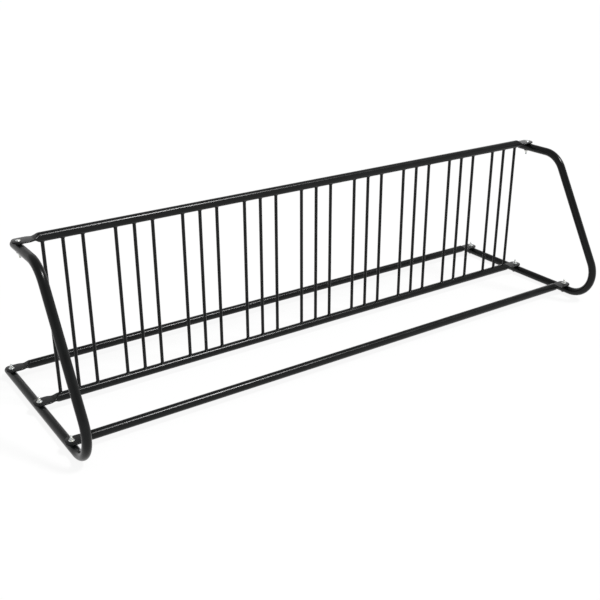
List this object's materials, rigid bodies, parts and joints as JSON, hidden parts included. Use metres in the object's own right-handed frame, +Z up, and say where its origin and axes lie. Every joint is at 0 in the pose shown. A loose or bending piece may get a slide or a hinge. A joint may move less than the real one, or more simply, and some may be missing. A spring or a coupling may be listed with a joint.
{
  "type": "floor bike rack",
  "caption": "Free-standing double-sided floor bike rack: upright bars between long rails hold the wheels, and bent tube end frames stand on base rails.",
  "frame": {"origin": "on the floor, below the middle of the rack's outline", "axes": "+X along the rack, +Y to its back (the side away from the end frames' noses), +Z up"},
  "size_m": [3.076, 1.0375, 0.8406],
  "materials": {
    "black_powder_coat": "satin black powder coat",
    "zinc_plate": "bright zinc plate",
    "black_plastic": "matte black moulded plastic"
  },
  "bodies": {
    "root": {"left_end_frame": "black_powder_coat", "right_end_frame": "black_powder_coat", "top_rail": "black_powder_coat", "lower_grid_rail": "black_powder_coat", "front_base_rail": "black_powder_coat", "rear_base_rail": "black_powder_coat", "grid_bar_01": "black_powder_coat", "grid_bar_02": "black_powder_coat", "grid_bar_03": "black_powder_coat", "grid_bar_04": "black_powder_coat", "grid_bar_05": "black_powder_coat", "grid_bar_06": "black_powder_coat", "grid_bar_07": "black_powder_coat", "grid_bar_08": "black_powder_coat", "grid_bar_09": "black_powder_coat", "grid_bar_10": "black_powder_coat", "grid_bar_11": "black_powder_coat", "grid_bar_12": "black_powder_coat", "grid_bar_13": "black_powder_coat", "grid_bar_14": "black_powder_coat", "grid_bar_15": "black_powder_coat", "grid_bar_16": "black_powder_coat", "grid_bar_17": "black_powder_coat", "grid_bar_18": "black_powder_coat", "grid_bar_19": "black_powder_coat", "grid_bar_20": "black_powder_coat", "grid_bar_21": "black_powder_coat", "grid_bar_22": "black_powder_coat", "grid_bar_23": "black_powder_coat", "grid_bar_24": "black_powder_coat", "grid_bar_25": "black_powder_coat", "grid_bar_26": "black_powder_coat", "grid_bar_27": "black_powder_coat", "top_joint_bolts": "zinc_plate", "top_joint_nuts": "zinc_plate", "top_joint_washers": "zinc_plate", "base_joint_bolts": "zinc_plate", "base_joint_nuts": "zinc_plate", "base_joint_washers": "zinc_plate", "top_joint_saddles": "black_plastic", "base_joint_saddles": "black_plastic", "left_top_plug": "black_plastic", "left_base_plug": "black_plastic", "right_top_plug": "black_plastic", "right_base_plug": "black_plastic"}
  },
  "joints": []
}
